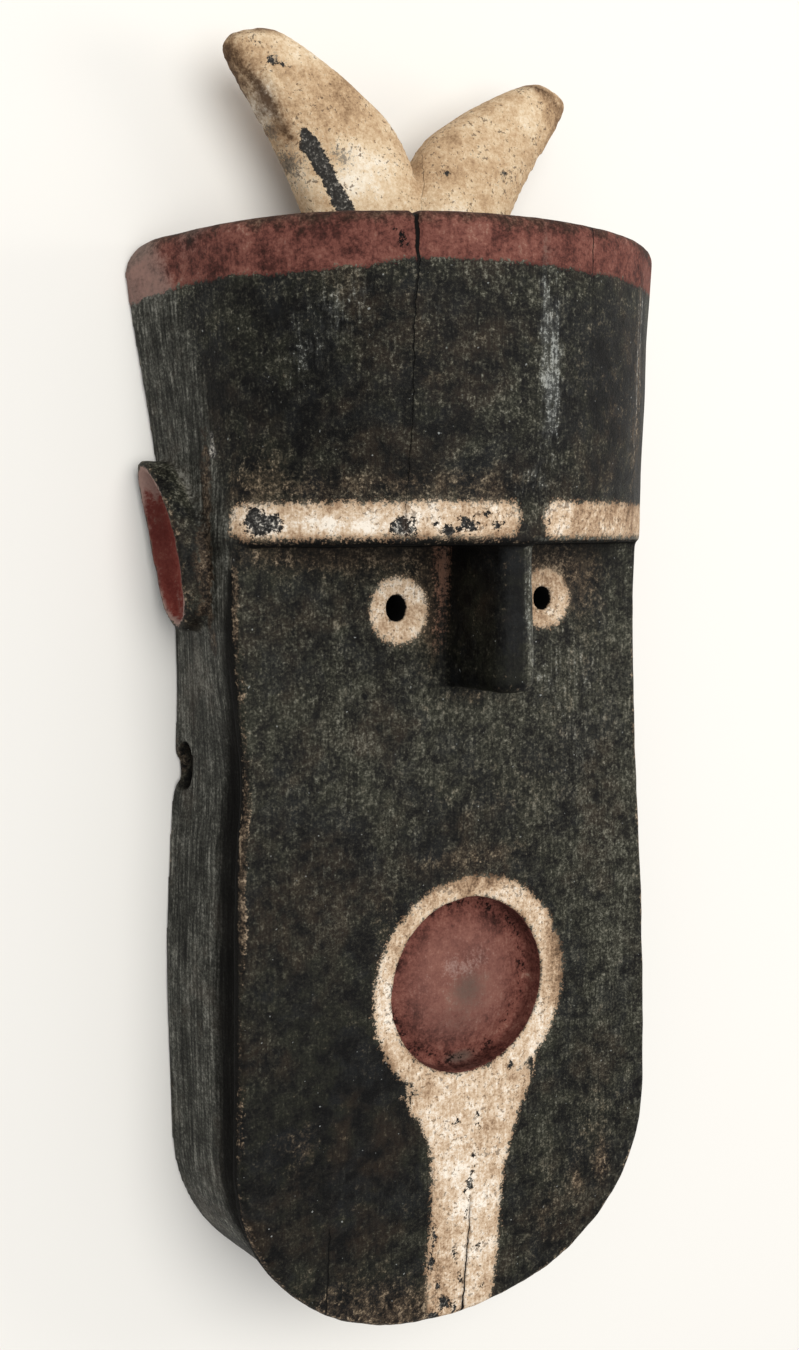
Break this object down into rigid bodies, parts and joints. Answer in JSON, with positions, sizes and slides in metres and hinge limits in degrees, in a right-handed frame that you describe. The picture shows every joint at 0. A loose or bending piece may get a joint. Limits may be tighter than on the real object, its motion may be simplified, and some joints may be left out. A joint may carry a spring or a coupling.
{
  "type": "carved wooden face mask",
  "caption": "Carved wooden face mask lying face up: flat face plate, bulging forehead under a straight rim, slab nose, round sunk mouth, cupped ears, two horns, hollow back",
  "frame": {"origin": "middle of the mask's length and width, on the plane it rests on", "axes": "+X to the viewer's right across the face, +Y from the chin to the horns, +Z out of the face"},
  "size_m": [0.2314, 0.5236, 0.1143],
  "materials": {
    "painted_wood": "hand-carved wood under worn matt earth paints: black ground, white, red-brown, pale horns"
  },
  "bodies": {
    "root": {"carved_mask": "painted_wood"}
  },
  "joints": []
}
